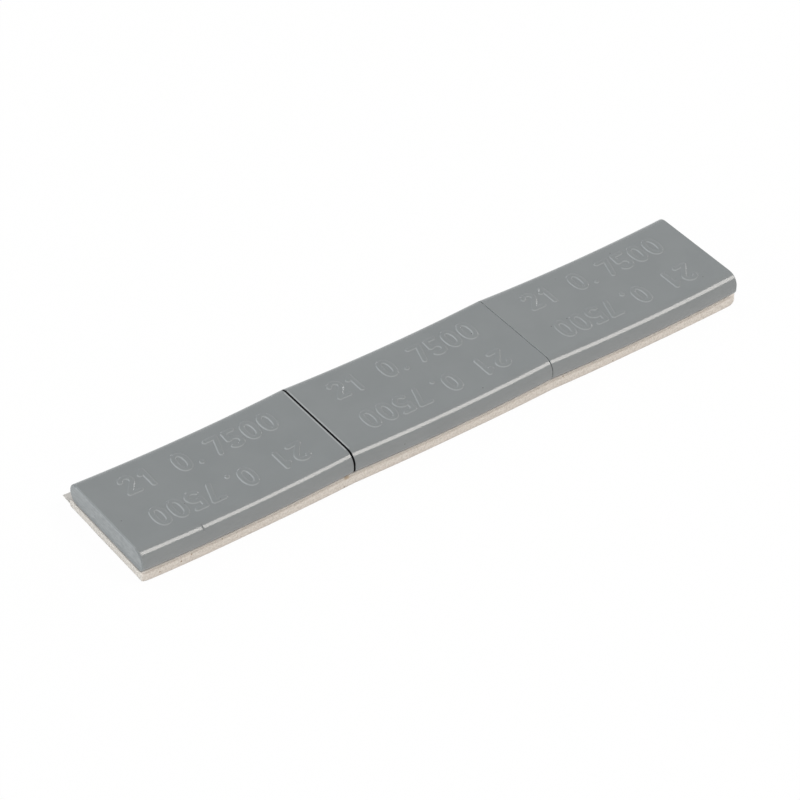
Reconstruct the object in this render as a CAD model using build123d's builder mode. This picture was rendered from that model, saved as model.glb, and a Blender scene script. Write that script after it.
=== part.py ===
"""Stick-on wheel balance weight: coated steel segments in a row on one strip of foam tape.

Each segment is bent along its length to follow the inside of a rim barrel. The foam tape joins the
segments, and a release liner that stands out behind the tape covers its sticky underside.
X runs along the strip, Y across it and Z up. The origin is on the liner's underside, below the
middle of the middle segment. All lengths are in millimetres and all angles in degrees.
"""
from build123d import *
from math import asin, cos, degrees, radians
import os

# Steel segments
segment_length = 37.1      # straight across, from end to end
segment_width = 20.0       # at the widest line of the sides
segment_thickness = 3.8
bend_radius = 333.0        # of the underside
top_edge_radius = 2.0      # of the long top edges, down to the widest line of the sides
left_gap = 0.3             # between the left and the middle segment
right_gap = 0.06           # between the middle and the right segment

# Foam tape, slit as wide as the segments
foam_thickness = 1.2       # under the middle of a segment
land_length = 8.0          # flat stretch of the underside below each segment
underside_rise = 0.3       # of the underside, from the lands up to the gaps and the strip's ends
left_overhang = 0.1        # of the tape past the steel's left end
right_overhang = 1.2       # of the tape past the steel's right end
left_corner_radius = 0.8   # front corner of the tape's left end
right_corner_radius = 2.8  # front corner of its right end

# Release liner
liner_thickness = 0.12
liner_overhang = 2.7       # of the liner past the back of the tape, to peel it off by

# Places worked out from the sizes
segment_seat = liner_thickness + foam_thickness
bend_axis_height = segment_seat + bend_radius
segment_centers = {
    "left_weight": -(segment_length + left_gap),
    "middle_weight": 0.0,
    "right_weight": segment_length + right_gap,
}
centers = list(segment_centers.values())
half_length = segment_length / 2
seat_half_angle = degrees(asin(half_length / bend_radius))
seat_end_height = bend_axis_height - bend_radius * cos(radians(seat_half_angle))
tape_left = centers[0] - half_length - left_overhang
tape_right = centers[-1] + half_length + right_overhang
tape_length = tape_right - tape_left
tape_middle = (tape_left + tape_right) / 2
tape_half_width = segment_width / 2
outline_height = segment_seat + segment_thickness   # above the highest point of the tape
top_half_angle = degrees(asin(half_length / (bend_radius - segment_thickness)))


def draw_segment_section():
    """Half of a segment's section: flat underside, fully rounded side and flat top."""
    base_edge_radius = segment_thickness - top_edge_radius
    base_half_width = segment_width / 2 - base_edge_radius
    top_half_width = segment_width / 2 - top_edge_radius
    Line((0, 0), (base_half_width, 0))
    CenterArc((base_half_width, base_edge_radius), base_edge_radius, -90, 90)
    CenterArc((top_half_width, base_edge_radius), top_edge_radius, 0, 90)
    Line((top_half_width, segment_thickness), (0, segment_thickness))


def draw_underside(height):
    """Underside of the tape, left to right: a flat land below each segment, rising arcs between them."""
    gap_middles = [(a + b) / 2 for a, b in zip(centers, centers[1:])]
    crests = [tape_left, *gap_middles, tape_right]
    for center, left_crest, right_crest in zip(centers, crests, crests[1:]):
        land_start = (center - land_length / 2, height)
        land_end = (center + land_length / 2, height)
        TangentArc(land_start, (left_crest, height + underside_rise), tangent=(-1, 0))
        Line(land_start, land_end)
        TangentArc(land_end, (right_crest, height + underside_rise), tangent=(1, 0))


def draw_seats():
    """Top of the tape, left to right: one arc per segment and short flats at the gaps and the ends."""
    start = (tape_left, seat_end_height)
    for center in centers:
        Line(start, (center - half_length, seat_end_height))
        bend_center = (center, bend_axis_height)
        CenterArc(bend_center, bend_radius, 270 - seat_half_angle, 2 * seat_half_angle)
        start = (center + half_length, seat_end_height)
    Line(start, (tape_right, seat_end_height))


def draw_tape_ends(low, high):
    """The two upright ends of a layer of the tape."""
    for end in (tape_left, tape_right):
        Line((end, low), (end, high))


def round_front_corners(outline):
    """Front corners of a layer's outline, each end with its own radius."""
    for corner, radius in ((0, left_corner_radius), (-1, right_corner_radius)):
        front_row = outline.vertices().group_by(Axis.Y)[0].sort_by(Axis.X)
        fillet(front_row[corner], radius)


os.makedirs("parts", exist_ok=True)

# Steel segments: the section is turned about the bend axis past both ends, which are sheared off upright
for segment_name, segment_center in segment_centers.items():
    with BuildPart() as segment:
        with BuildSketch(Plane.YZ.offset(segment_center).shift_origin((segment_center, 0, segment_seat))):
            with BuildLine():
                draw_segment_section()
                mirror(about=Plane.YZ)
            make_face()
        bend_axis = Axis((segment_center, 0, bend_axis_height), (0, 1, 0))
        revolve(axis=bend_axis, revolution_arc=2 * top_half_angle)
        mirror(about=Plane.YZ.offset(segment_center))
        split(bisect_by=Plane.YZ.offset(segment_center - half_length), keep=Keep.TOP)
        split(bisect_by=Plane.YZ.offset(segment_center + half_length), keep=Keep.BOTTOM)
    segment.part.label = segment_name
    export_step(segment.part, f"parts/{segment_name}.step")

# Foam tape: the long profile between the segments' seats and the underside, cut to its outline
with BuildPart() as foam_tape:
    with BuildSketch(Plane.XZ):
        with BuildLine():
            draw_underside(liner_thickness)
            draw_seats()
            draw_tape_ends(liner_thickness + underside_rise, seat_end_height)
        make_face()
    extrude(amount=tape_half_width, both=True)
    with BuildSketch(Plane.XY) as tape_outline:
        with Locations((tape_middle, 0)):
            Rectangle(tape_length, segment_width)
        round_front_corners(tape_outline)
    extrude(amount=outline_height, mode=Mode.INTERSECT)
foam_tape.part.label = "foam_tape"
export_step(foam_tape.part, "parts/foam_tape.step")

# Release liner: a thin sheet along the tape's underside, as far as the tape at the front and past it behind
with BuildPart() as release_liner:
    with BuildSketch(Plane.XZ):
        with BuildLine():
            draw_underside(0)
            draw_underside(liner_thickness)
            draw_tape_ends(underside_rise, underside_rise + liner_thickness)
        make_face()
    extrude(amount=tape_half_width + liner_overhang, both=True)
    with BuildSketch(Plane.XY) as liner_outline:
        with Locations((tape_middle, liner_overhang / 2)):
            Rectangle(tape_length, segment_width + liner_overhang)
        round_front_corners(liner_outline)
    extrude(amount=outline_height, mode=Mode.INTERSECT)
release_liner.part.label = "release_liner"
export_step(release_liner.part, "parts/release_liner.step")
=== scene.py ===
"""Looks of the stick-on wheel balance weight: coated steel segments on foam tape with a release liner.

Everything is in metres, in the CAD frame: X along the strip, Y across it, Z up, with the origin below
the middle segment.
"""

import math

import bpy
import numpy as np
from mathutils import Matrix, Vector, noise


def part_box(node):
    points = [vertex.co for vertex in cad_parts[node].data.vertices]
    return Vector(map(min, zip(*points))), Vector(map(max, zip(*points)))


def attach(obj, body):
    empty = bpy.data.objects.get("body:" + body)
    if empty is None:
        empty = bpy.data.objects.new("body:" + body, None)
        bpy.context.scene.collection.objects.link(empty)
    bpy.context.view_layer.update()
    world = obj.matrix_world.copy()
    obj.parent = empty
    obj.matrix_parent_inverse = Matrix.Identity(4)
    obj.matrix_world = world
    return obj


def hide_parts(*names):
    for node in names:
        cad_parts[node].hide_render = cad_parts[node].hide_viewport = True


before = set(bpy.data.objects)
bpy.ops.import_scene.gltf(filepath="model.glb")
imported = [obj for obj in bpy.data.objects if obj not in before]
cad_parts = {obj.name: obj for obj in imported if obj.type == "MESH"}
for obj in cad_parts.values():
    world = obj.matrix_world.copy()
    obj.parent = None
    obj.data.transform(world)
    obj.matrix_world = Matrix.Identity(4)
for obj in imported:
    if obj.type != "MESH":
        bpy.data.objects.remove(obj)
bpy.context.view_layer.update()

MM = 0.001

# Steel segments
SEGMENTS = ("left_weight", "middle_weight", "right_weight")
THICKNESS = 3.8 * MM
BEND_RADIUS = 333.0 * MM         # of the underside
TOP_EDGE_RADIUS = 2.0 * MM
FRONT_EDGE_RADIUS = 1.1 * MM     # of the long lower edges, with a straight side up to the top edges
BACK_EDGE_RADIUS = 1.7 * MM
END_BREAKS = {                   # radius of the soft edge round the left and the right end
    "left_weight": (0.28 * MM, 0.07 * MM),
    "middle_weight": (0.03 * MM, 0.12 * MM),
    "right_weight": (0.12 * MM, 0.16 * MM),
}
HIGHLIGHT_RIMS = {                     # width of the top's rim at either end that carries a painted highlight
    "left_weight": (0.0, 0.28 * MM),
    "middle_weight": (0.20 * MM, 0.0),
    "right_weight": (0.0, 0.0),
}
SMOOTH_STRIP = 1.4 * MM          # height of the burnished lower part of a sheared end
COATING_IOR = 1.5
PAINTED_HIGHLIGHT_ATTRIBUTE = "painted_highlight_share"          # attribute with the share of the painted highlight on a segment, from 0 to 1

# Places of a segment's materials in its list
PLAIN_COATING, SHEARED_END, PAINTED_SHADE_END = range(3)

# Raised numerals on the top of each segment
NUMERALS = "21 0.7500"
NUMERAL_HEIGHT = 3.55 * MM       # between the centrelines of the strokes, as the width below
NUMERAL_WIDTH = 1.8 * MM
NUMERAL_PITCH = 3.05 * MM
NUMERAL_START = -12.7 * MM       # left end of the back row, from the middle of the segment
NUMERAL_BASELINE = 2.4 * MM      # of the back row, from the centre line
TURN_X = 0.45 * MM               # the front row is the back row turned half round about this place
STROKE_WIDTH = 0.78 * MM         # between the middles of the slopes
STROKE_SLOPE = 0.22 * MM
STROKE_RISE = 0.10 * MM

# Marks of use; each reach is where a mark begins to show and where it shows in full
NICK = -45.1 * MM                # place along the strip of a nick across the front edge of the left segment
NICK_REACH = (0.18 * MM, 0.08 * MM)           # from its middle, along the strip
NICK_REACH_ACROSS = (-8.5 * MM, -8.8 * MM)
NICK_REACH_UP = (4.1 * MM, 4.5 * MM)
STAIN = (-20.0 * MM, -9.7 * MM)  # brown stain on the foam's front edge, beside the left gap
STAIN_REACH = (0.7 * MM, 0.1 * MM)            # from its middle, along the strip
STAIN_REACH_ACROSS = (0.45 * MM, 0.1 * MM)
STAIN_STRENGTH = 0.6
CREVICE_PAINTED_LIGHT_REACH = (9.80 * MM, 9.58 * MM)        # reach of the painted light that lightens the foam in its crevice below the steel, from the centre line
CREVICE_PAINTED_LIGHT_END = (-55.9 * MM, -55.4 * MM)        # where that painted light fades, towards the strip's left end
CREVICE_PAINTED_LIGHT_AT_END = 0.7
UP_FACING_PAINTED_SHADE = 0.3                       # share of dark brown painted shade on the foam's up-facing faces

# Colours
COATING_COLORS = ((0.205, 0.222, 0.227, 1), (0.215, 0.232, 0.237, 1))
# pale colour of the painted highlight on rims and numerals' front and left slopes
PAINTED_HIGHLIGHT_COLOR = (0.33, 0.35, 0.355, 1)
COATING_DIRT_COLOR = (0.10, 0.10, 0.10, 1)
NICK_COLOR = (0.18, 0.19, 0.195, 1)
FRACTURE_COLORS = ((0.205, 0.222, 0.227, 1), (0.275, 0.292, 0.298, 1))
SMOOTH_STRIP_COLOR = (0.172, 0.190, 0.195, 1)
# near-black painted shade of the ends that face a gap
GAP_PAINTED_SHADE_COLORS = ((0.008, 0.009, 0.010, 1), (0.02, 0.021, 0.023, 1))
FOAM_COLORS = ((0.55, 0.515, 0.472, 1), (0.665, 0.632, 0.588, 1))
# light colour painted on the foam in its crevice, against the shade under the steel
CREVICE_PAINTED_LIGHT_COLOR = (0.84, 0.80, 0.755, 1)
# painted shade on the foam's up-facing faces
UP_FACING_PAINTED_SHADE_COLOR = (0.22, 0.17, 0.12, 1)
STAIN_COLOR = (0.34, 0.22, 0.10, 1)
FOAM_DIRT_COLOR = (0.22, 0.15, 0.09, 1)
PAPER_COLORS = ((0.60, 0.575, 0.54, 1), (0.67, 0.645, 0.61, 1))
FLOOR_COLOR = (0.94, 0.935, 0.925, 1)
AMBIENT_COLOR = (0.96, 0.985, 1.0, 1)
KEY_COLOR = (1.0, 0.955, 0.905)
WARM_FILL = (1.0, 0.865, 0.79)
COOL_FILL = (0.95, 0.98, 1.0)

# Mesh spacing
FINE = 0.07 * MM                 # where the numerals are
COARSE = 0.6 * MM
SUPPORT = 0.06 * MM              # row beside a rounding, which keeps the flat beside it flat
UPPER_TURN = 7.5                 # degrees between the rows round an upper edge
LOWER_TURN = 15                  # the same, round a lower edge
CORNER_TURN = 7.5                # the same, round a corner of the tape and liner
END_BREAK_STEPS = 5              # facets across the soft edge of an end
TAPE_EDGE_ROWS = tuple(          # beside the foam's cut sides, from the edge inwards
    row * MM for row in (0, 0.02, 0.06, 0.12, 0.2, 0.3, 0.45, 0.65, 0.9, 1.2, 1.6, 2.1))
TAPE_INNER_STEPS = 11            # across the foam between these rows
TAPE_LAYERS = 8
LINER_STEPS = 29                 # across the liner

# Foam tape and liner
TAPE_FRONT_CORNERS = (           # reach along the strip and across it, at the left and the right end
    (1.8 * MM, 0.3 * MM),
    (2.8 * MM, 2.8 * MM),
)
TAPE_EDGE_RADIUS = 0.5 * MM      # of the foam's cut upper edges
TAPE_SWELL = 0.14 * MM           # of the foam round the steel's lower edges
SWELL_WANDER = 0.25              # irregularity of the swell, as a share of it
SWELL_WANDER_SIZE = 7 * MM
TAPE_WANDER = 0.06 * MM          # irregularity of the foam's cut sides
TAPE_WANDER_SIZE = 5 * MM
LINER_THICKNESS = 0.12 * MM
LINER_SKEW = 0.35 * MM           # by which the cut of the liner's left end slants inwards
LINER_SKEW_START = 3 * MM        # from the centre line to where the slant begins
LINER_SKEW_RUN = 3 * MM          # stretch of the sheet beside the end that follows the slant
FOAM_THICKNESS = 1.2 * MM        # under the middle of a segment
LAND_LENGTH = 8.0 * MM
UNDERSIDE_RISE = 0.3 * MM
LEFT_END_RISE = 0.41 * MM        # of the underside at the strip's left end, where the tape lifts a little
SEAT = LINER_THICKNESS + FOAM_THICKNESS
BEND_AXIS_HEIGHT = SEAT + BEND_RADIUS

# Camera, fitted to the photograph's edges and gaps
CAMERA_AZIMUTH = math.radians(-36.1286)
CAMERA_ELEVATION = math.radians(40.2543)
CAMERA_ROLL = math.radians(0.4496)
CAMERA_DISTANCE = 482.471 * MM
CAMERA_ASIDE = -2.620 * MM
CAMERA_RAISE = -3.612 * MM
CAMERA_LENS = 142.093            # millimetres, on a sensor 36 mm wide

# Light and floor
LAMP_DISTANCE = 1.2              # metres, from the part
AMBIENT = 0.2                    # radiance of the world that lights the part
FLOOR_HALF = 3.0                 # metres
FLOOR_LEVEL = -0.02 * MM         # just below the liner
FLOOR_GLOW = 0.97                # share of the floor's white that no shadow dims


# Node materials

def new_material(name):
    """A node material with its Principled shader, and a function that adds a node to it."""
    material = bpy.data.materials.new(name)
    material.use_nodes = True
    tree = material.node_tree
    shader = tree.nodes["Principled BSDF"]

    def add(kind, inputs=None, **settings):
        node = tree.nodes.new(kind)
        for key, value in settings.items():
            setattr(node, key, value)
        for key, value in (inputs or {}).items():
            if isinstance(value, bpy.types.NodeSocket):
                tree.links.new(value, node.inputs[key])
            else:
                node.inputs[key].default_value = value
        return node

    def link(source, socket):
        tree.links.new(source, shader.inputs[socket])

    return material, shader, add, link


def place_noise(add, size, detail=2.0, roughness=0.5, stretch=1.0):
    """Noise with features of about that size in the part's own frame, drawn out across the strip."""
    place = add("ShaderNodeTexCoord").outputs["Object"]
    place = add("ShaderNodeMapping", {"Vector": place, "Scale": (1, 1 / stretch, 1)}).outputs["Vector"]
    return add("ShaderNodeTexNoise", {"Vector": place, "Scale": 1.0 / size, "Detail": detail,
                                      "Roughness": roughness}).outputs["Fac"]


def band(add, value, low, high, bottom=0.0, top=1.0):
    """Maps a value smoothly from low..high to bottom..top."""
    return add("ShaderNodeMapRange", {"Value": value, "From Min": low, "From Max": high,
                                      "To Min": bottom, "To Max": top},
               interpolation_type="SMOOTHSTEP").outputs["Result"]


def times(add, first, second):
    """Product of two values."""
    return add("ShaderNodeMath", {0: first, 1: second}, operation="MULTIPLY").outputs[0]


def specks(add, spacing, radius, share):
    """Mask of small round specks: a share of the cells of that spacing hold one."""
    place = add("ShaderNodeTexCoord").outputs["Object"]
    cells = add("ShaderNodeTexVoronoi", {"Vector": place, "Scale": 1.0 / spacing})
    spot = band(add, cells.outputs["Distance"], radius / spacing, 0.4 * radius / spacing)
    pick = add("ShaderNodeSeparateColor", {"Color": cells.outputs["Color"]}).outputs["Red"]
    chosen = add("ShaderNodeMath", {0: pick, 1: share}, operation="LESS_THAN").outputs[0]
    return times(add, spot, chosen)


def distance_from(add, value, place):
    """How far a coordinate is from a place."""
    offset = add("ShaderNodeMath", {0: value, 1: place}, operation="SUBTRACT").outputs[0]
    return add("ShaderNodeMath", {0: offset}, operation="ABSOLUTE").outputs[0]


def mix_color(add, factor, first, second):
    """Mix of two colours; each of them, and the factor, is a value or a socket."""
    node = add("ShaderNodeMix", data_type="RGBA")
    tree = node.id_data
    for index, value in ((0, factor), (6, first), (7, second)):
        if isinstance(value, bpy.types.NodeSocket):
            tree.links.new(value, node.inputs[index])
        else:
            node.inputs[index].default_value = value
    return node.outputs[2]


def own_place(add):
    """X, Y and Z in the part's own frame."""
    place = add("ShaderNodeTexCoord").outputs["Object"]
    return add("ShaderNodeSeparateXYZ", {"Vector": place}).outputs


def emboss(add, link, height, strength, depth):
    """Relief of that depth in the surface, where the height runs from 0 to 1."""
    bump = add("ShaderNodeBump", {"Height": height, "Strength": strength, "Distance": depth})
    link(bump.outputs["Normal"], "Normal")


def coating_material():
    """Semi-gloss grey coating: a pale painted highlight on the rims beside the first gap and on the numerals'
    slopes to the front and left, a slight orange peel, dark specks and a nick.
    """
    material, shader, add, link = new_material("grey_coating")
    cloud = band(add, place_noise(add, size=6 * MM), 0.3, 0.7)
    base = mix_color(add, cloud, *COATING_COLORS)
    # Painted highlight: paler on the rims and on the numerals' front and left slopes
    pale_highlight = add("ShaderNodeAttribute", attribute_name=PAINTED_HIGHLIGHT_ATTRIBUTE).outputs["Fac"]
    base = mix_color(add, pale_highlight, base, PAINTED_HIGHLIGHT_COLOR)
    dirt = specks(add, spacing=1.6 * MM, radius=0.14 * MM, share=0.07)
    base = mix_color(add, dirt, base, COATING_DIRT_COLOR)
    place = own_place(add)
    nick = times(add, band(add, distance_from(add, place["X"], NICK), *NICK_REACH),
                 times(add, band(add, place["Y"], *NICK_REACH_ACROSS), band(add, place["Z"], *NICK_REACH_UP)))
    link(mix_color(add, nick, base, NICK_COLOR), "Base Color")
    gloss = band(add, place_noise(add, size=1.5 * MM), 0.3, 0.7, bottom=0.11, top=0.15)
    link(add("ShaderNodeMath", {0: gloss, 1: nick}, operation="ADD", use_clamp=True).outputs[0], "Roughness")
    emboss(add, link, place_noise(add, size=0.28 * MM, detail=1.0), strength=0.15, depth=0.02 * MM)
    shader.inputs["IOR"].default_value = COATING_IOR
    return material


def sheared_material():
    """The same coating over a sheared end: rough fracture above, a smooth strip below."""
    material, shader, add, link = new_material("grey_coating_on_sheared_end")
    height = own_place(add)["Z"]
    waviness = band(add, place_noise(add, size=2.5 * MM), 0.0, 1.0, bottom=-0.4 * MM, top=0.4 * MM)
    level = add("ShaderNodeMath", {0: height, 1: waviness}, operation="ADD").outputs[0]
    border = SEAT + SMOOTH_STRIP
    fracture = band(add, level, border - 0.15 * MM, border + 0.25 * MM)
    grain = band(add, place_noise(add, size=0.35 * MM, detail=3.0, stretch=3.0), 0.3, 0.7)
    rough_color = mix_color(add, grain, *FRACTURE_COLORS)
    link(mix_color(add, fracture, SMOOTH_STRIP_COLOR, rough_color), "Base Color")
    link(band(add, fracture, 0.0, 1.0, bottom=0.30, top=0.42), "Roughness")
    emboss(add, link, times(add, grain, fracture), strength=0.5, depth=0.04 * MM)
    shader.inputs["IOR"].default_value = COATING_IOR
    return material


def gap_painted_shade_material():
    """Sheared ends that face a gap: near black with a faint mottle, painted shade for the depth of the gap.
    """
    material, shader, add, link = new_material("sheared_end_painted_shade")
    shade_mottle = band(add, place_noise(add, size=0.8 * MM, detail=3.0), 0.3, 0.7)
    link(mix_color(add, shade_mottle, *GAP_PAINTED_SHADE_COLORS), "Base Color")
    shader.inputs["Roughness"].default_value = 0.7
    return material


def foam_material():
    """Matt off-white foam with fine cells and brown specks: painted shade darkens its up-facing faces, and
    painted light lightens it below the steel's edge.
    """
    material, shader, add, link = new_material("foam")
    cells = place_noise(add, size=0.3 * MM, detail=3.0, roughness=0.6)
    base = mix_color(add, band(add, cells, 0.35, 0.6), *FOAM_COLORS)
    place = own_place(add)
    across = distance_from(add, place["Y"], 0.0)
    facing = add("ShaderNodeSeparateXYZ", {"Vector": add("ShaderNodeNewGeometry").outputs["Normal"]})
    top = band(add, facing.outputs["Z"], 0.2, 0.8)
    # Painted shade on the up-facing faces
    base = mix_color(add, times(add, top, UP_FACING_PAINTED_SHADE), base, UP_FACING_PAINTED_SHADE_COLOR)
    # Painted light: the foam in the crevice below the steel's edge is lightened
    crevice_painted_light = times(add, band(add, across, *CREVICE_PAINTED_LIGHT_REACH),
                      band(add, place["X"], *CREVICE_PAINTED_LIGHT_END, bottom=CREVICE_PAINTED_LIGHT_AT_END))
    base = mix_color(add, times(add, top, crevice_painted_light), base, CREVICE_PAINTED_LIGHT_COLOR)
    stain = times(add, band(add, distance_from(add, place["X"], STAIN[0]), *STAIN_REACH),
                  band(add, distance_from(add, place["Y"], STAIN[1]), *STAIN_REACH_ACROSS,
                       top=STAIN_STRENGTH))
    base = mix_color(add, times(add, top, stain), base, STAIN_COLOR)
    dirt = specks(add, spacing=0.9 * MM, radius=0.2 * MM, share=0.14)
    link(mix_color(add, dirt, base, FOAM_DIRT_COLOR), "Base Color")
    shader.inputs["Roughness"].default_value = 0.9
    shader.inputs["Specular IOR Level"].default_value = 0.25
    emboss(add, link, cells, strength=0.25, depth=0.05 * MM)
    return material


def liner_material():
    """Off-white release paper with a faint fibre."""
    material, shader, add, link = new_material("release_paper")
    fibre = place_noise(add, size=0.5 * MM, detail=4.0, roughness=0.65)
    link(mix_color(add, band(add, fibre, 0.3, 0.7), *PAPER_COLORS), "Base Color")
    shader.inputs["Roughness"].default_value = 0.55
    emboss(add, link, fibre, strength=0.15, depth=0.02 * MM)
    return material


# Meshes

def spaced(stops, steps):
    """Values from the first stop to the last, each stretch divided into steps no longer than its own."""
    values = [stops[0]]
    for low, high, step in zip(stops, stops[1:], steps):
        count = max(1, math.ceil(abs(high - low) / step - 1e-6))
        values += [low + (high - low) * (i + 1) / count for i in range(count)]
    return np.array(values)


def arc(center, radius, start, end, count=24):
    """Points along an arc, with its angles in degrees."""
    angles = np.radians(np.linspace(start, end, count))
    return [(center[0] + radius * math.cos(a), center[1] + radius * math.sin(a)) for a in angles]


def numeral_strokes():
    """Centrelines of the numerals, from the lower left corner of their cell."""
    width, height = NUMERAL_WIDTH, NUMERAL_HEIGHT
    half = width / 2
    turn = np.linspace(0, 2 * math.pi, 65)
    squareness = 0.86
    oval = [(half + half * math.copysign(abs(math.cos(a)) ** squareness, math.cos(a)),
             height / 2 + height / 2 * math.copysign(abs(math.sin(a)) ** squareness, math.sin(a)))
            for a in turn]
    bowl = 0.56 * height
    return {
        "0": [oval],
        "1": [[(0.2 * width, 0.78 * height), (0.6 * width, height), (0.6 * width, 0)]],
        "2": [arc((half, height - half), half, 165, -35) + [(0, 0), (width, 0)]],
        "5": [[(0.95 * width, height), (0.1 * width, height), (0.04 * width, 0.52 * height)]
              + arc((0.45 * width, bowl / 2), bowl / 2, 118, -140, 32)],
        "7": [[(0, height), (width, height), (0.36 * width, 0)]],
        ".": [[(0.2 * width, 0.02 * height), (0.2 * width, 0.02 * height)]],
    }


def distance_to_strokes(x, y):
    """Distance from each point to the nearest centreline of the back row of numerals."""
    strokes = numeral_strokes()
    nearest = np.full(x.shape, 1.0)
    for cell, numeral in enumerate(NUMERALS):
        left = NUMERAL_START + cell * NUMERAL_PITCH
        for stroke in strokes.get(numeral, []):
            for (ax, ay), (bx, by) in zip(stroke, stroke[1:]):
                ax, bx = ax + left, bx + left
                ay, by = ay + NUMERAL_BASELINE, by + NUMERAL_BASELINE
                length_squared = (bx - ax) ** 2 + (by - ay) ** 2 or 1.0
                t = ((x - ax) * (bx - ax) + (y - ay) * (by - ay)) / length_squared
                t = np.clip(t, 0, 1)
                away = np.hypot(x - ax - t * (bx - ax), y - ay - t * (by - ay))
                nearest = np.minimum(nearest, away)
    return nearest


def numeral_rise(x, y):
    """Height of the raised numerals: the back row, and the front row turned half round."""
    away = np.minimum(distance_to_strokes(x, y), distance_to_strokes(2 * TURN_X - x, -y))
    t = np.clip((STROKE_WIDTH / 2 + STROKE_SLOPE / 2 - away) / STROKE_SLOPE, 0, 1)
    return STROKE_RISE * t * t * (3 - 2 * t)


def bent_height(x, above_underside):
    """Height of a point of a segment that is x from its middle and so far above its underside."""
    return BEND_AXIS_HEIGHT - np.sqrt((BEND_RADIUS - above_underside) ** 2 - x ** 2)


def lattice_skin(counts, plain_underside=False):
    """Skin of a lattice of points: the index triples of its points and the quads between them, facing out.

    A plain underside has only long quads, from side to side. The quads of the two ends along the first
    index come last."""
    skin = np.zeros(counts, bool)
    for axis in range(3):
        np.moveaxis(skin, axis, 0)[[0, -1]] = True
    if plain_underside:
        skin[1:-1, 1:-1, 0] = False
    number = np.full(counts, -1)
    number[skin] = np.arange(skin.sum())
    below = number[:, [-1, 0], 0] if plain_underside else number[:, ::-1, 0]
    sides = (number[:, :, -1], below, number[:, 0, :], number[::-1, -1, :],
             number[0, ::-1, :], number[-1, :, :])
    quads = [np.stack([side[:-1, :-1], side[1:, :-1], side[1:, 1:], side[:-1, 1:]], -1).reshape(-1, 4)
             for side in sides]
    return np.argwhere(skin).T, np.concatenate(quads)


def new_piece(name, node, points, quads, materials):
    """A mesh that stands for a CAD node and rides on the part."""
    mesh = bpy.data.meshes.new(name)
    mesh.from_pydata(np.stack(points, -1).tolist(), [], quads.tolist())
    for material in materials:
        mesh.materials.append(material)
    mesh.shade_smooth()
    piece = bpy.data.objects.new(name, mesh)
    bpy.context.scene.collection.objects.link(piece)
    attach(piece, "root")
    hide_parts(node)
    return piece


def segment_columns(node, half_length):
    """Places along a segment, close together at the numerals, and how far its section shrinks there."""
    left_break, right_break = END_BREAKS[node]
    left_rim, right_rim = HIGHLIGHT_RIMS[node]
    start = left_break - half_length
    stop = half_length - right_break
    first = NUMERAL_START - STROKE_WIDTH
    last = 2 * TURN_X - first
    left_band = max(left_rim - left_break, SUPPORT)
    right_band = max(right_rim - right_break, SUPPORT)
    columns = spaced((start, start + left_band, start + left_band + SUPPORT, first,
                      last, stop - right_band - SUPPORT, stop - right_band, stop),
                     (left_band, SUPPORT, COARSE, FINE, COARSE, SUPPORT, right_band))
    break_angles = np.radians(np.linspace(0, 90, END_BREAK_STEPS + 1))[1:]
    out, down = np.sin(break_angles), 1 - np.cos(break_angles)
    along = np.concatenate([start - left_break * out[::-1], columns, stop + right_break * out])
    shrink = np.concatenate([left_break * down[::-1], 0 * columns, right_break * down])
    return along, shrink


def segment_rows(half_width):
    """Places across a segment, close together where the numerals are, as shares of its half width."""
    flat = half_width - TOP_EDGE_RADIUS
    near = NUMERAL_BASELINE - STROKE_WIDTH
    far = NUMERAL_BASELINE + NUMERAL_HEIGHT + STROKE_WIDTH
    rows = spaced((-flat, -flat + SUPPORT, -far, -near, near, far, flat - SUPPORT, flat),
                  (SUPPORT, COARSE, FINE, COARSE, FINE, COARSE, SUPPORT))
    return rows / flat


def painted_highlight_amount(x, y, half_length, rims):
    """Share of the painted highlight on a top: in full on its rims, and on the numerals' slopes to the front
    and left.
    """
    left_rim, right_rim = rims
    on_rim = (x < left_rim - half_length + SUPPORT / 2) | (x > half_length - right_rim - SUPPORT / 2)
    step = STROKE_SLOPE / 4
    climb = numeral_rise(x + step, y + step) - numeral_rise(x - step, y - step)
    return np.minimum(np.where(on_rim, 1.0, 0.0) + np.clip(climb / STROKE_RISE, 0.0, 1.0), 1.0)


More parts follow.
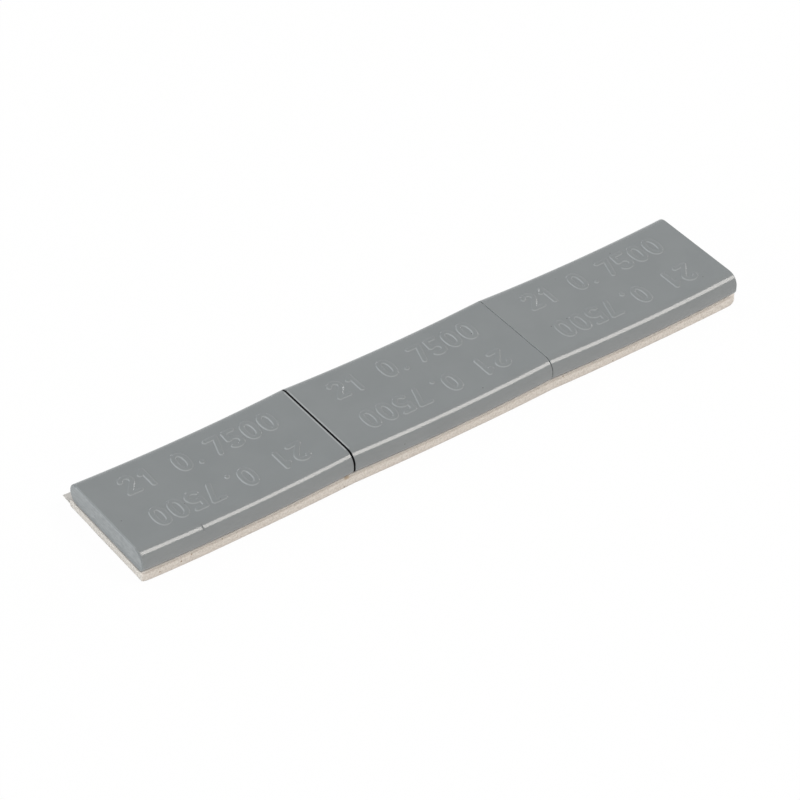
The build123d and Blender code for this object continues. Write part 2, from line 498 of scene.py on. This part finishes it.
def make_segment(node, finishes):
    """One coated steel segment with its raised numerals and softly broken ends."""
    low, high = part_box(node)
    center = (low.x + high.x) / 2
    half_length = (high.x - low.x) / 2
    half_width = (high.y - low.y) / 2
    along, shrink = segment_columns(node, half_length)
    share = segment_rows(half_width)
    lower_radius = FRONT_EDGE_RADIUS + (BACK_EDGE_RADIUS - FRONT_EDGE_RADIUS) * (1 + share) / 2

    # Up: round the side from the underside to the top
    lower_turn = spaced((-90, 0), (LOWER_TURN,))
    upper_turn = spaced((0, 90), (UPPER_TURN,))
    turn = np.radians(np.concatenate([lower_turn, upper_turn]))
    upper = np.arange(len(turn)) >= len(lower_turn)

    (i, j, k), quads = lattice_skin((len(along), len(share), len(turn)), plain_underside=True)
    radius = np.where(upper[k], TOP_EDGE_RADIUS, lower_radius[j])
    level = np.where(upper[k], THICKNESS - TOP_EDGE_RADIUS, lower_radius[j])
    edge = radius - shrink[i]
    x = along[i]
    y = share[j] * (half_width - radius + edge * np.cos(turn[k]))
    above = level + edge * np.sin(turn[k])
    top = k == len(turn) - 1
    above[top] += numeral_rise(x[top], y[top])
    piece = new_piece(node + "_coated", node, (x + center, y, bent_height(x, above)), quads,
                      finishes)

    # Painted highlight, kept in an attribute of the top's points
    pale_highlight = np.zeros(len(x))
    pale_highlight[top] = painted_highlight_amount(x[top], y[top], half_length, HIGHLIGHT_RIMS[node])
    piece.data.attributes.new(PAINTED_HIGHLIGHT_ATTRIBUTE, "FLOAT", "POINT").data.foreach_set("value", pale_highlight)

    # Painted shade on the ends in the gaps, and on the edge that the left segment turns to its gap
    index = np.full(len(quads), PLAIN_COATING, np.int32)
    end_quads = (len(share) - 1) * (len(turn) - 1)
    index[-2 * end_quads:-end_quads] = SHEARED_END if node == SEGMENTS[0] else PAINTED_SHADE_END
    index[-end_quads:] = SHEARED_END if node == SEGMENTS[-1] else PAINTED_SHADE_END
    if node == SEGMENTS[0]:
        right_break = END_BREAKS[node][1]
        index[x[quads].mean(axis=1) > half_length - right_break] = PAINTED_SHADE_END
    piece.data.polygons.foreach_set("material_index", index)


def wander(values, size, seed):
    """Smooth irregularity between -1 and 1 along a row of places."""
    return np.array([noise.noise((value / size, seed, 0.0)) for value in values])


def segment_middles():
    """Places of the segments' middles along the strip."""
    return [sum(corner.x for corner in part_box(node)) / 2 for node in SEGMENTS]


def underside(x):
    """Height of the underside above its flat lands, from which it rises towards the gaps and ends."""
    middles = segment_middles()
    low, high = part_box("foam_tape")
    crests = [low.x] + [(a + b) / 2 for a, b in zip(middles, middles[1:])] + [high.x]
    height = np.zeros_like(x)
    for middle, left, right in zip(middles, crests, crests[1:]):
        left_rise = LEFT_END_RISE if left == low.x else UNDERSIDE_RISE
        own = (x > left - SUPPORT) & (x < right + SUPPORT)
        run = np.where(x < middle, middle - left, right - middle) - LAND_LENGTH / 2
        past = np.clip(np.abs(x - middle) - LAND_LENGTH / 2, 0, run)
        rise = np.where(x < middle, left_rise, UNDERSIDE_RISE)
        height = np.where(own, rise * (past / run) ** 2, height)
    return height


def seat(x):
    """Height of the steel's underside, or of its ends where a gap or the end of the strip is."""
    low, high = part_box("middle_weight")
    half_length = (high.x - low.x) / 2
    away = np.min([np.abs(x - middle) for middle in segment_middles()], axis=0)
    return bent_height(np.minimum(away, half_length), 0.0)


def strip_columns(low, high, ends):
    """Places along the strip, close together round its corners."""
    (left, _), (right, _) = ends
    columns = spaced((low + left, high - right), (COARSE,))
    corner = np.radians(spaced((0, 90), (CORNER_TURN,)))[1:]
    return np.concatenate([(low + left - left * np.sin(corner))[::-1], columns,
                           high - right + right * np.sin(corner)])


def rounded_edge(x, low, high, ends):
    """How far a long edge draws in at the rounded corners of its ends."""
    drawn_in = np.zeros_like(x)
    for (run, depth), inside in zip(ends, (x - low, high - x)):
        past = np.clip(1 - inside / run, 0, 1)
        drawn_in += depth * (1 - np.sqrt(1 - past ** 2))
    return drawn_in


def make_tape(foam):
    """Foam tape: pressed flatter under the steel, swollen round the steel's lower edges."""
    low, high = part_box("foam_tape")
    along = strip_columns(low.x, high.x, TAPE_FRONT_CORNERS)
    offsets = np.array(TAPE_EDGE_ROWS)
    inner = np.linspace(0, 1, TAPE_INNER_STEPS + 1)[1:-1]
    up = np.linspace(0, 1, TAPE_LAYERS + 1)
    count = len(offsets)
    (i, j, k), quads = lattice_skin((len(along), 2 * count + len(inner), len(up)))

    x = along[i]
    front = low.y + rounded_edge(along, low.x, high.x, TAPE_FRONT_CORNERS)
    front += TAPE_WANDER * (1 + wander(along, TAPE_WANDER_SIZE, seed=1.0)) / 2
    back = high.y - TAPE_WANDER * (1 + wander(along, TAPE_WANDER_SIZE, seed=2.0)) / 2
    across = np.concatenate([front[:, None] + offsets,
                             front[:, None] + offsets[-1]
                             + (back - front - 2 * offsets[-1])[:, None] * inner,
                             back[:, None] - offsets[::-1]], axis=1)
    y = across[i, j]

    # The top follows the steel's rounded lower edge up to the swell, and rounds off at the tape's own edges
    radius = np.where(y < 0, FRONT_EDGE_RADIUS, BACK_EDGE_RADIUS)
    past = np.clip(np.abs(y) - high.y + radius, 0, radius)
    steel_rise = radius - np.sqrt(radius ** 2 - past ** 2)
    swell = (TAPE_SWELL * (1 + SWELL_WANDER * wander(along, SWELL_WANDER_SIZE, seed=3.0)))[i]
    inside = np.clip(np.minimum(y - front[i], back[i] - y), 0, TAPE_EDGE_RADIUS)
    drop = TAPE_EDGE_RADIUS - np.sqrt(TAPE_EDGE_RADIUS ** 2 - (TAPE_EDGE_RADIUS - inside) ** 2)
    top = seat(x) + np.minimum(steel_rise, swell) - drop
    bottom = LINER_THICKNESS + underside(x)
    z = bottom + (top - bottom) * up[k]
    new_piece("foam_tape_soft", "foam_tape", (x, y, z), quads, [foam])


def make_liner(paper):
    """Release liner: a slim sheet under the tape that stands out behind it."""
    low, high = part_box("release_liner")
    along = strip_columns(low.x, high.x, TAPE_FRONT_CORNERS)
    share = np.linspace(0, 1, LINER_STEPS + 1)
    (i, j, k), quads = lattice_skin((len(along), len(share), 2))
    front = low.y + rounded_edge(along, low.x, high.x, TAPE_FRONT_CORNERS)
    x = along[i]
    y = front[i] + (high.y - front[i]) * share[j]
    skewed = np.clip((y - LINER_SKEW_START) / (high.y - LINER_SKEW_START), 0, 1)
    x = x + LINER_SKEW * skewed * np.clip(1 - (x - low.x) / LINER_SKEW_RUN, 0, 1)
    z = underside(x) + LINER_THICKNESS * k
    new_piece("release_liner_paper", "release_liner", (x, y, z), quads, [paper])


# Camera, light and floor

def place_camera():
    """Camera at the photograph's viewing angle."""
    low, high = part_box("middle_weight")
    target = Vector(((low.x + high.x) / 2, 0, SEAT + THICKNESS))
    azimuth, elevation = CAMERA_AZIMUTH, CAMERA_ELEVATION
    back = Vector((math.sin(azimuth) * math.cos(elevation), -math.cos(azimuth) * math.cos(elevation),
                   math.sin(elevation)))
    level = Vector((math.cos(azimuth), math.sin(azimuth), 0))
    upright = back.cross(level)
    right = level * math.cos(CAMERA_ROLL) + upright * math.sin(CAMERA_ROLL)
    up = upright * math.cos(CAMERA_ROLL) - level * math.sin(CAMERA_ROLL)
    camera = bpy.data.objects.new("camera", bpy.data.cameras.new("camera"))
    camera.data.lens = CAMERA_LENS
    camera.data.clip_start = 0.01
    place = target + back * CAMERA_DISTANCE + right * CAMERA_ASIDE + up * CAMERA_RAISE
    camera.matrix_world = Matrix.Translation(place) @ Matrix((right, up, back)).transposed().to_4x4()
    bpy.context.scene.collection.objects.link(camera)
    bpy.context.scene.camera = camera


def softbox(name, direction, size, radiance, color=(1, 1, 1), upright=(0, 0, 1), reflected=True):
    """A softbox that faces the part, with about that radiance; it need not show in reflections."""
    lamp = bpy.data.lights.new(name, "AREA")
    lamp.shape = "RECTANGLE"
    lamp.size, lamp.size_y = size
    lamp.energy = radiance * math.pi * size[0] * size[1]
    lamp.color = color
    holder = bpy.data.objects.new(name, lamp)
    holder.visible_glossy = reflected
    toward = Vector(direction).normalized()
    across = Vector(upright).cross(toward).normalized()
    turned = Matrix((across, toward.cross(across), toward)).transposed().to_4x4()
    holder.matrix_world = Matrix.Translation(toward * LAMP_DISTANCE) @ turned
    bpy.context.scene.collection.objects.link(holder)


def light_scene():
    """Softboxes, two small lamps for glints on the numerals, a white backdrop and faint ambient light."""
    softbox("key", (0.45, -0.499, 0.740), (0.5, 0.54), 7.9, KEY_COLOR, upright=(0, 1, 0.56))
    softbox("left_back", (-0.35, 0.66, 0.66), (0.95, 0.95), 1.5, COOL_FILL)
    softbox("left_low", (-1.0, -0.1, 0.25), (1.0, 0.6), 3.9, COOL_FILL, reflected=False)
    softbox("front_low", (-0.1, -1.0, 0.2), (1.6, 0.5), 1.5, WARM_FILL, reflected=False)
    softbox("right_low", (1.0, 0.15, 0.3), (0.8, 0.5), 3.0, reflected=False)
    softbox("overhead", (-0.1, 0.2, 1.0), (1.0, 1.0), 0.6, reflected=False)
    softbox("back_glint", (0.25, 0.90, 0.36), (0.1, 0.1), 12.0)
    softbox("right_glint", (0.85, 0.35, 0.40), (0.1, 0.12), 9.0)
    world = bpy.data.worlds.new("studio")
    world.use_nodes = True
    nodes, links = world.node_tree.nodes, world.node_tree.links
    ambient = nodes["Background"]
    ambient.inputs["Color"].default_value = AMBIENT_COLOR
    ambient.inputs["Strength"].default_value = AMBIENT
    backdrop = nodes.new("ShaderNodeBackground")
    backdrop.inputs["Strength"].default_value = 1.0
    backdrop.inputs["Color"].default_value = (1, 1, 1, 1)
    mix = nodes.new("ShaderNodeMixShader")
    links.new(seen_directly(nodes, links), mix.inputs["Fac"])
    links.new(ambient.outputs[0], mix.inputs[1])
    links.new(backdrop.outputs[0], mix.inputs[2])
    links.new(mix.outputs[0], nodes["World Output"].inputs["Surface"])
    bpy.context.scene.world = world


def seen_directly(nodes, links):
    """1 for camera, glossy and transmission rays."""
    path = nodes.new("ShaderNodeLightPath")
    total = path.outputs["Is Camera Ray"]
    for ray in ("Is Glossy Ray", "Is Transmission Ray"):
        most = nodes.new("ShaderNodeMath")
        most.operation = "MAXIMUM"
        links.new(total, most.inputs[0])
        links.new(path.outputs[ray], most.inputs[1])
        total = most.outputs[0]
    return total


def make_floor():
    """White floor that keeps a faint shadow."""
    half = FLOOR_HALF
    corners = [(x, y, FLOOR_LEVEL) for x, y in ((-half, -half), (half, -half), (half, half), (-half, half))]
    mesh = bpy.data.meshes.new("floor")
    mesh.from_pydata(corners, [], [(0, 1, 2, 3)])
    floor = bpy.data.objects.new("floor", mesh)
    bpy.context.scene.collection.objects.link(floor)
    material = bpy.data.materials.new("floor_white")
    material.use_nodes = True
    nodes, links = material.node_tree.nodes, material.node_tree.links
    nodes.remove(nodes["Principled BSDF"])
    paper = nodes.new("ShaderNodeBsdfDiffuse")
    paper.inputs["Color"].default_value = FLOOR_COLOR
    glow = nodes.new("ShaderNodeEmission")
    glow.inputs["Strength"].default_value = 1.0
    share = nodes.new("ShaderNodeMath")
    share.operation = "MULTIPLY"
    share.inputs[1].default_value = FLOOR_GLOW
    links.new(seen_directly(nodes, links), share.inputs[0])
    mix = nodes.new("ShaderNodeMixShader")
    links.new(share.outputs[0], mix.inputs["Fac"])
    links.new(paper.outputs[0], mix.inputs[1])
    links.new(glow.outputs[0], mix.inputs[2])
    links.new(mix.outputs[0], nodes["Material Output"].inputs["Surface"])
    mesh.materials.append(material)


steel_finishes = [coating_material(), sheared_material(), gap_painted_shade_material()]
for node in SEGMENTS:
    make_segment(node, steel_finishes)
make_tape(foam_material())
make_liner(liner_material())
place_camera()
light_scene()
make_floor()
bpy.context.scene.view_settings.view_transform = "Standard"
